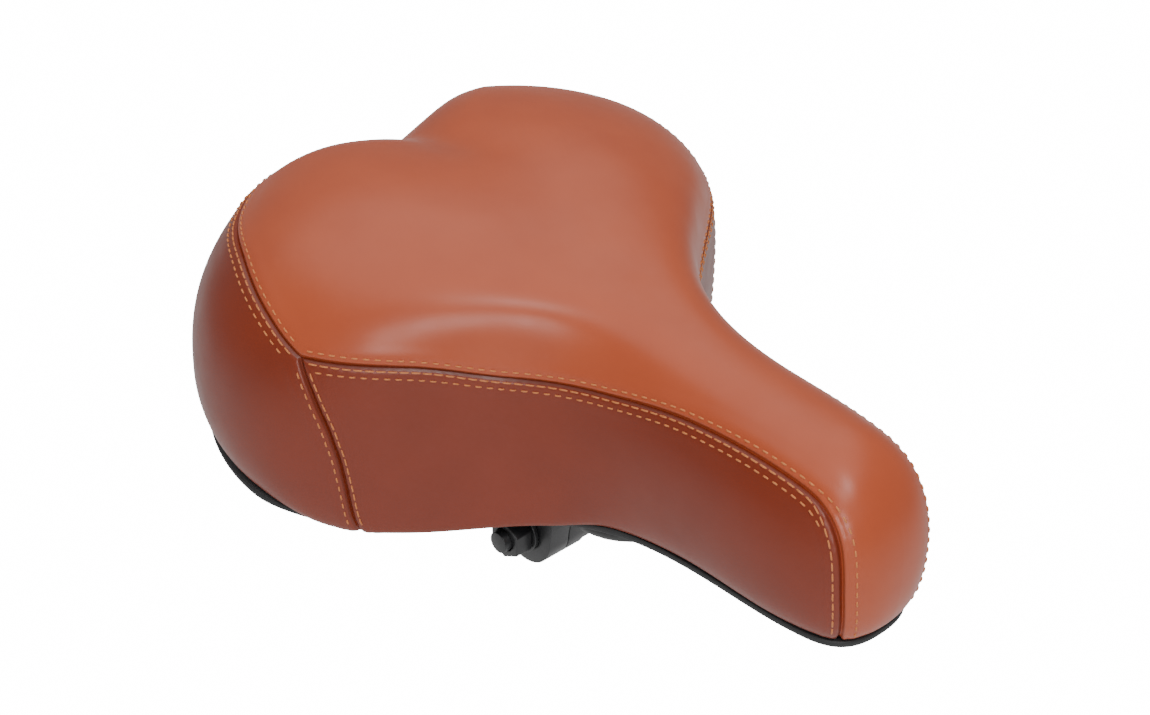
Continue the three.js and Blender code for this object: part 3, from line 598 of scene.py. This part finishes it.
def bumped(nodes, links, shader, height, strength, distance, before=None):
    bump = nodes.new("ShaderNodeBump")
    bump.inputs["Strength"].default_value = strength
    bump.inputs["Distance"].default_value = distance
    links.new(height, bump.inputs["Height"])
    if before:
        links.new(before, bump.inputs["Normal"])
    links.new(bump.outputs["Normal"], shader.inputs["Normal"])
    return bump.outputs["Normal"]


def leather(name, light, dark, seam_shade_color, roughness):
    """Smooth imitation leather: pebbled grain, faint mottling, and painted shade, a near-black brown, in the
    grooves where the seams fold in.
    """
    material, nodes, links, shader, place = new_material(name, light, roughness, specular=0.4)
    mottled = mixed(nodes, links, ranged(nodes, links, noise(nodes, links, place, 38), 0, 1), light, dark)
    gap = nodes.new("ShaderNodeAttribute")
    gap.attribute_name = "seam_gap"
    # Painted shade: within about a millimetre of a seam the colour darkens to a near-black brown in the
    # groove.
    seam_shade_share = ranged(nodes, links, gap.outputs["Fac"], 1, 0, 0.35, 1.1)
    links.new(mixed(nodes, links, seam_shade_share, mottled, seam_shade_color), shader.inputs["Base Color"])
    patches = ranged(nodes, links, noise(nodes, links, place, 60), roughness - 0.04, roughness + 0.05)
    links.new(patches, shader.inputs["Roughness"])
    pebbles = nodes.new("ShaderNodeTexVoronoi")
    pebbles.inputs["Scale"].default_value = 1500
    links.new(place, pebbles.inputs["Vector"])
    coarse = bumped(nodes, links, shader, pebbles.outputs["Distance"], 0.07, 0.0001)
    bumped(nodes, links, shader, noise(nodes, links, place, 3200), 0.05, 0.0001, coarse)
    return material


def thread(name, color):
    material, nodes, links, shader, place = new_material(name, color, 0.6)
    darker = tuple(0.72 * c for c in color)
    share = ranged(nodes, links, noise(nodes, links, place, 1800), 0, 1)
    links.new(mixed(nodes, links, share, color, darker), shader.inputs["Base Color"])
    bumped(nodes, links, shader, noise(nodes, links, place, 4000), 0.4, 0.0001)
    return material


def moulded_plastic(name, color):
    material, nodes, links, shader, place = new_material(name, color, 0.55)
    bumped(nodes, links, shader, noise(nodes, links, place, 2200, 2), 0.25, 0.0001)
    links.new(ranged(nodes, links, noise(nodes, links, place, 90), 0.48, 0.62), shader.inputs["Roughness"])
    return material


def painted_steel(name, color):
    material, nodes, links, shader, place = new_material(name, color, 0.36)
    links.new(ranged(nodes, links, noise(nodes, links, place, 120), 0.3, 0.44), shader.inputs["Roughness"])
    bumped(nodes, links, shader, noise(nodes, links, place, 900, 2), 0.06, 0.0001)
    return material


def zinc_plate(name, color):
    material, nodes, links, shader, place = new_material(name, color, 0.34, metallic=1)
    share = ranged(nodes, links, noise(nodes, links, place, 260), 0, 1)
    links.new(mixed(nodes, links, share, color, tuple(0.8 * c for c in color)), shader.inputs["Base Color"])
    links.new(ranged(nodes, links, noise(nodes, links, place, 500), 0.28, 0.42), shader.inputs["Roughness"])
    return material


def rubber(name, color):
    material, nodes, links, shader, place = new_material(name, color, 0.75, specular=0.35)
    links.new(ranged(nodes, links, noise(nodes, links, place, 150), 0.68, 0.85), shader.inputs["Roughness"])
    bumped(nodes, links, shader, noise(nodes, links, place, 1500, 2), 0.2, 0.0001)
    return material


def moulded_foam(name, color):
    material, nodes, links, shader, place = new_material(name, color, 0.95, specular=0.15)
    cells = nodes.new("ShaderNodeTexVoronoi")
    cells.inputs["Scale"].default_value = 1100
    links.new(place, cells.inputs["Vector"])
    bumped(nodes, links, shader, cells.outputs["Distance"], 0.6, 0.0004)
    share = ranged(nodes, links, noise(nodes, links, place, 70), 0, 1)
    links.new(mixed(nodes, links, share, color, tuple(0.88 * c for c in color)), shader.inputs["Base Color"])
    return material


MATERIALS = {
    # The third colour of each leather is painted shade for its seam grooves.
    "leather_top": leather("leather_top", (0.40, 0.072, 0.024), (0.37, 0.064, 0.021),
                           (0.09, 0.018, 0.008), 0.35),
    "leather_side": leather("leather_side", (0.19, 0.024, 0.006), (0.17, 0.021, 0.005),
                            (0.05, 0.009, 0.004), 0.36),
    "thread": thread("sewing_thread", (0.60, 0.19, 0.055)),
    "black_plastic": moulded_plastic("black_plastic", (0.012, 0.012, 0.013)),
    "black_steel": painted_steel("black_steel", (0.010, 0.010, 0.011)),
    "zinc_steel": zinc_plate("zinc_steel", (0.55, 0.56, 0.58)),
    "rubber": rubber("rubber", (0.014, 0.014, 0.015)),
    "foam": moulded_foam("foam", (0.72, 0.66, 0.50)),
}


# ---- The cover -------------------------------------------------------------------------------

def mirrored(half, axis):
    """A grid over both halves from one half, which starts at the middle line along that axis."""
    other = half.copy()
    other[..., 1] *= -1
    rest = [slice(None)] * 3
    rest[axis] = slice(1, None)
    return np.concatenate([np.flip(other, axis), half[tuple(rest)]], axis)


def build_cover():
    """The four sewn panels. Gives their seams in chart coordinates and a search tree for each panel."""
    along, across = FULL_GRID
    s, t = np.meshgrid(np.linspace(0, 1, along), spaced(across, 0, 4), indexing="ij")
    top = mirrored(top_chart(s, t), 1)
    s, t = np.meshgrid(spaced(along * 4 // 5, 3, 3), spaced(across * 3 // 4, 4, 0), indexing="ij")
    side = side_chart(s, t)
    s, t = np.meshgrid(spaced(along // 4, 0, 4), spaced(across * 3 // 4, 4, 0), indexing="ij")
    rear = mirrored(rear_chart(s, t), 0)

    seams = {(name, sign): seam_chart(points, sign) for sign in (1, -1)
             for name, points in (("rear", REAR_SEAM), ("side", SIDE_SEAM), ("lower", LOWER_SEAM))}
    lines = {key: on_cover(seam) for key, seam in seams.items()}
    last = (slice(None), -1)
    trees = {}
    round_top = [lines[name, sign] for name in ("rear", "side") for sign in (1, -1)]
    trees["top"] = sewn_panel("top_cover_panel", top, round_top, (TOP_ROW,), [(-1, slice(None))],
                              MATERIALS["leather_top"])
    round_rear = [lines[name, sign] for name in ("rear", "lower") for sign in (1, -1)]
    trees["rear"] = sewn_panel("rear_cover_panel", rear, round_rear, (NEAR_ROW, FAR_ROW), [last],
                               MATERIALS["leather_side"])
    for sign, name in ((1, "left"), (-1, "right")):
        chart = side * np.array([1, sign])
        trees[name] = sewn_panel(name + "_side_panel", chart, [lines["side", sign], lines["lower", sign]],
                                 (NEAR_ROW, FAR_ROW), [last], MATERIALS["leather_side"])
    return seams, trees


def sew(seams, trees):
    """Rows of thread: three along the side and rear seams, two along the lower seam."""
    for sign, side in ((1, "left"), (-1, "right")):
        seam = seams["side", sign]
        x = on_cover(seam)[:, 0]
        at_nose = smoothstep(x, NOSE_ROWS_START, NOSE_ROWS_END)
        top_offset = TOP_ROW + (NOSE_TOP_ROW - TOP_ROW) * at_nose
        side_offset = NEAR_ROW + (NOSE_SIDE_ROW - NEAR_ROW) * at_nose
        flank = seam[:np.argmax(x > FAR_ROW_END)]
        thread_rows(side + "_side_seam_thread", [
            (seam, top_offset, trees["top"], STITCH_SHORT, 2, 1),
            (seam, side_offset, trees[side], STITCH_LONG, 3, 1),
            (flank, FAR_ROW, trees[side], STITCH_SHORT, 5, 2),
        ], MATERIALS["thread"])
        seam = seams["rear", sign]
        thread_rows(side + "_rear_seam_thread", [
            (seam, TOP_ROW, trees["top"], STITCH_SHORT, 0, 1),
            (seam, NEAR_ROW, trees["rear"], STITCH_LONG, 0, 3),
            (seam, FAR_ROW, trees["rear"], STITCH_SHORT, 0, 5),
        ], MATERIALS["thread"])
        seam = seams["lower", sign]
        thread_rows(side + "_lower_seam_thread", [
            (seam, LOWER_ROW, trees["rear"], STITCH_SHORT, 5, 1),
            (seam, LOWER_ROW, trees[side], STITCH_LONG, 5, 1),
        ], MATERIALS["thread"])


def build_bead():
    """The black moulded bead that shows below the cover's hem."""
    half = np.linspace(0, LAST_U, BEAD_POINTS)
    u = np.concatenate([half, np.linspace(LAST_U, 0, BEAD_POINTS)[1:-1]])
    sign = np.where(np.arange(len(u)) < BEAD_POINTS, 1, -1)
    hidden, lift = rim_hidden(u), cover_lift(u)
    shown = BEAD_REAR_INSET + (BEAD_NOSE_INSET - BEAD_REAR_INSET) * smoothstep(u, 4, 7)
    outer = shown + (BEAD_HIDDEN_INSET - shown) * hidden
    top = (lift - BEAD_GAP) * (1 - hidden) + BEAD_TOP * hidden
    round_off = np.minimum(BEAD_ROUNDING, (BEAD_INNER_INSET - outer) / 2)
    profile = [(BEAD_INNER_INSET + 0 * u, top), (outer + round_off / 2, top), (outer, top - round_off / 2),
               (outer, BEAD_BOTTOM + round_off), (outer + round_off * 0.3, BEAD_BOTTOM + round_off * 0.3),
               (outer + round_off, BEAD_BOTTOM + 0 * u), (BEAD_INNER_INSET + 0 * u, BEAD_BOTTOM + 0 * u)]
    points, faces = [], []
    for inset, height in profile:
        ring = layer(u, np.full(len(u), 2.0), inset, lift=height)
        ring[:, 1] *= sign
        points.append(ring)
    for k in range(len(profile)):
        first, second = k * len(u), (k + 1) % len(profile) * len(u)
        faces += band(np.arange(len(u)) + first, np.arange(len(u)) + second)
    finish_piece(make_mesh("rim_bead", np.vstack(points), faces, 50), MATERIALS["black_plastic"],
                 "seat")


seam_charts, panel_trees = build_cover()
sew(seam_charts, panel_trees)
build_bead()


# ---- Hardware, from the CAD's own solids -----------------------------------------------------

def refined(node, bevel, segments=3):
    """A copy of a CAD solid with its sharp edges rounded."""
    source = frame["nodes"][node]
    mesh = source.data.copy()
    bm = bmesh.new()
    bm.from_mesh(mesh)
    bmesh.ops.remove_doubles(bm, verts=bm.verts, dist=1e-6)
    bmesh.ops.dissolve_limit(bm, angle_limit=math.radians(1), verts=bm.verts, edges=bm.edges)
    bm.to_mesh(mesh)
    bm.free()
    obj = bpy.data.objects.new(node + "_looks", mesh)
    bpy.context.scene.collection.objects.link(obj)
    modifier = obj.modifiers.new("round", "BEVEL")
    modifier.width = bevel / 1000
    modifier.segments = segments
    modifier.limit_method = "ANGLE"
    modifier.angle_limit = math.radians(SHARP_DEGREES)
    modifier.harden_normals = False
    depsgraph = bpy.context.evaluated_depsgraph_get()
    obj.data = bpy.data.meshes.new_from_object(obj.evaluated_get(depsgraph))
    obj.modifiers.clear()
    obj.data.shade_smooth()
    obj.data.set_sharp_from_angle(angle=math.radians(SHARP_DEGREES))
    return obj


def build_hardware():
    """Every hard solid, with rounded edges and its own material."""
    slots = {part["node"]: part["material_slot"] for part in frame["record"]["subparts"]}
    for body, nodes in frame["record"]["behaviour"]["bodies"].items():
        for node in nodes:
            if node not in SOFT_NODES:
                piece = refined(node, ROUNDING.get(node, DEFAULT_ROUNDING))
                finish_piece(piece, MATERIALS[slots[node]], body, [node])


build_hardware()


# ---- Foam core and rubber bumpers ------------------------------------------------------------

def pan_height(x, y):
    """The pan's top has the same height all the way across, so y plays no part."""
    return crown_height(PAN_CROWN, x) + PAN_CLEARANCE


def foam_top_height(x, y):
    return top_height(x, y) - FOAM_INSET - FOAM_TOP_GAP


def build_foam():
    """The moulded core between the cover and the pan, open below."""
    around = FULL_FOAM
    u, v = np.meshgrid(np.linspace(0, LAST_U, around), np.linspace(0, FOAM_END, FOAM_ROWS), indexing="ij")
    lift = RIM_SHOWN + RAIL_ARCH * plateau(u, *RAIL_ARCH_U)
    pan_inset = PAN_INSET_SHOULDER + (PAN_INSET_EDGE - PAN_INSET_SHOULDER) * np.clip(v - 1, 0, 1)
    outer = layer(u, v, FOAM_INSET, foam_top_height, lift)
    inner = layer(u, v, pan_inset - PAN_CLEARANCE, pan_height, lift)
    loops = np.concatenate([outer, np.flip(inner, 1)], 1)
    other = np.flip(loops[1:-1], 0) * np.array([1, -1, 1])
    rings = np.concatenate([loops, other])
    count, width = rings.shape[:2]
    index = np.arange(count * width).reshape(count, width)
    faces = []
    for k in range(count):
        ahead = index[(k + 1) % count]
        faces += [(index[k, j], ahead[j], ahead[j + 1], index[k, j + 1])
                  for j in range(width - 1)]
    piece = make_mesh("foam_core", rings.reshape(-1, 3), faces, 50)
    finish_piece(piece, MATERIALS["foam"], "seat", ["foam_pad"])


def build_bumpers():
    """Rubber blocks: rounded copies of the CAD bumpers, dressed in rubber, with their placing baked into
    their meshes.
    """
    for sign, name in ((1, "bumper_left"), (-1, "bumper_right")):
        piece = dress(refined(name, BUMPER_ROUNDING), MATERIALS["rubber"], [name])
        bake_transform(piece)


build_foam()
build_bumpers()


# ---- Floor, light and camera -----------------------------------------------------------------

def build_stage():
    """A pale floor, white to the camera and clear when looked at from below."""
    floor_mesh = bpy.data.meshes.new("floor")
    corners = [(x * FLOOR_HALF_SIZE, y * FLOOR_HALF_SIZE, FLOOR_HEIGHT)
               for x, y in ((-1, -1), (1, -1), (1, 1), (-1, 1))]
    floor_mesh.from_pydata(corners, [], [(0, 1, 2, 3)])
    floor = bpy.data.objects.new("floor", floor_mesh)
    bpy.context.scene.collection.objects.link(floor)
    material, nodes, links, shader, _ = new_material("floor", (0.9, 0.9, 0.9), 0.9, specular=0)
    white, path, mix = (nodes.new("ShaderNode" + kind) for kind in ("Emission", "LightPath", "MixShader"))
    white.inputs["Strength"].default_value = BACKDROP_GLOW
    links.new(path.outputs["Is Camera Ray"], mix.inputs["Fac"])
    links.new(shader.outputs["BSDF"], mix.inputs[1])
    links.new(white.outputs["Emission"], mix.inputs[2])
    kinds = ("NewGeometry", "BsdfTransparent", "MixShader")
    behind, clear, pick = (nodes.new("ShaderNode" + kind) for kind in kinds)
    links.new(behind.outputs["Backfacing"], pick.inputs["Fac"])
    links.new(mix.outputs["Shader"], pick.inputs[1])
    links.new(clear.outputs["BSDF"], pick.inputs[2])
    links.new(pick.outputs["Shader"], nodes["Material Output"].inputs["Surface"])
    floor.data.materials.append(material)


def area_light(name, position, target, size, power):
    light = bpy.data.lights.new(name, "AREA")
    light.shape = "RECTANGLE"
    light.size, light.size_y = size
    light.energy = power
    obj = bpy.data.objects.new(name, light)
    bpy.context.scene.collection.objects.link(obj)
    obj.location = position
    obj.rotation_mode = "QUATERNION"
    obj.rotation_quaternion = (Vector(target) - Vector(position)).to_track_quat("-Z", "Y")
    return obj


def build_lights():
    """Three soft lamps and an even room light, with white behind everything."""
    middle = (0.02, 0, 0.08)
    area_light("overhead", (-0.2, 0.1, 1.8), middle, (2.6, 2.6), 33)
    area_light("front_low", (1.16, -1.02, 0.52), middle, (0.6, 0.5), 10)
    area_light("front_high", (0.87, -0.39, 1.35), middle, (0.4, 0.4), 8)
    world = bpy.data.worlds.new("studio")
    world.use_nodes = True
    nodes, links = world.node_tree.nodes, world.node_tree.links
    room, seen = nodes["Background"], nodes.new("ShaderNodeBackground")
    path, mix = nodes.new("ShaderNodeLightPath"), nodes.new("ShaderNodeMixShader")
    for background, strength in ((room, ROOM_LIGHT), (seen, BACKDROP_GLOW)):
        background.inputs["Color"].default_value = (1, 1, 1, 1)
        background.inputs["Strength"].default_value = strength
    links.new(path.outputs["Is Camera Ray"], mix.inputs["Fac"])
    links.new(room.outputs["Background"], mix.inputs[1])
    links.new(seen.outputs["Background"], mix.inputs[2])
    links.new(mix.outputs["Shader"], nodes["World Output"].inputs["Surface"])
    bpy.context.scene.world = world


def build_camera():
    azimuth, elevation, roll = (math.radians(a) for a in (CAMERA_AZIMUTH, CAMERA_ELEVATION, CAMERA_ROLL))
    right = Vector((math.cos(azimuth), math.sin(azimuth), 0))
    back = Vector((math.sin(azimuth) * math.cos(elevation), -math.cos(azimuth) * math.cos(elevation),
                   math.sin(elevation)))
    up = back.cross(right)
    image_right = right * math.cos(roll) + up * math.sin(roll)
    image_up = up * math.cos(roll) - right * math.sin(roll)
    lens = bpy.data.cameras.new("camera")
    lens.lens, lens.sensor_width = CAMERA_LENS, 36
    lens.clip_start, lens.clip_end = 0.01, 50
    camera = bpy.data.objects.new("camera", lens)
    bpy.context.scene.collection.objects.link(camera)
    turn = Matrix((image_right, image_up, back)).transposed()
    camera.matrix_world = Matrix.Translation(CAMERA_POSITION) @ turn.to_4x4()
    bpy.context.scene.camera = camera


build_stage()
build_lights()
build_camera()
